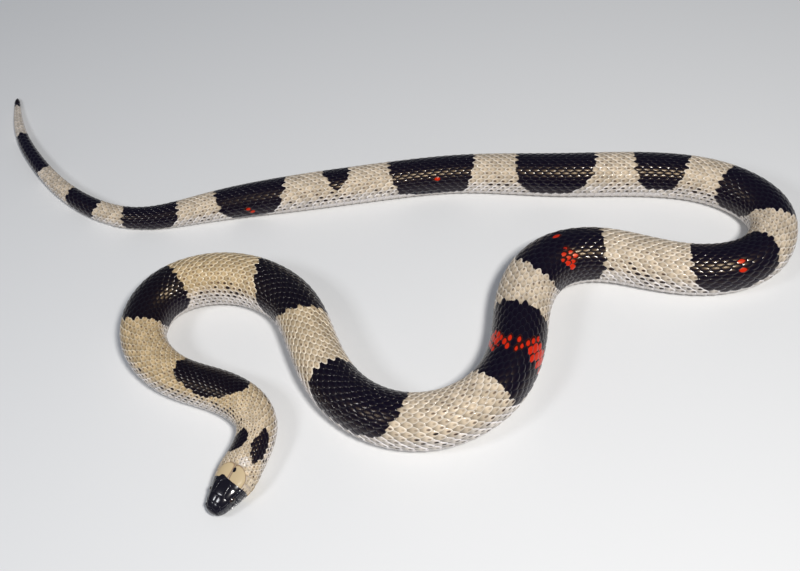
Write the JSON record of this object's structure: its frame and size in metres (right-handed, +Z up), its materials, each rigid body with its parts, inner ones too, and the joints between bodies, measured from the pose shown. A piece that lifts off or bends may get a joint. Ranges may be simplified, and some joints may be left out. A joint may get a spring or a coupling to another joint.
{
  "type": "milk snake model",
  "caption": "Life-size still model of a milk snake lying on its belly in loose bends, with a black cap on its head and dark saddles along a pale body.",
  "frame": {"origin": "centre of the model's footprint, on the floor it lies on", "axes": "+X along the longest stretch of the pose, +Z up from the floor, the snout towards -Y and the tail tip towards -X and +Y"},
  "size_m": [0.3486, 0.2508, 0.0226],
  "materials": {
    "body_skin": "smooth glossy scales, cream to whitish with near-black saddles and a few red scales",
    "head_skin": "large smooth glossy plates, near-black cap with a pale tan crown behind it",
    "eye": "dark polished eye under a clear scale"
  },
  "bodies": {
    "root": {"head": "head_skin", "lower_jaw": "head_skin", "eye_left": "eye", "eye_right": "eye", "neck": "body_skin", "forebody_1": "body_skin", "forebody_2": "body_skin", "forebody_3": "body_skin", "forebody_4": "body_skin", "midbody_1": "body_skin", "midbody_2": "body_skin", "midbody_3": "body_skin", "midbody_4": "body_skin", "midbody_5": "body_skin", "midbody_6": "body_skin", "midbody_7": "body_skin", "hindbody_1": "body_skin", "hindbody_2": "body_skin", "hindbody_3": "body_skin", "hindbody_4": "body_skin", "tail_1": "body_skin", "tail_2": "body_skin", "tail_3": "body_skin"}
  },
  "joints": []
}
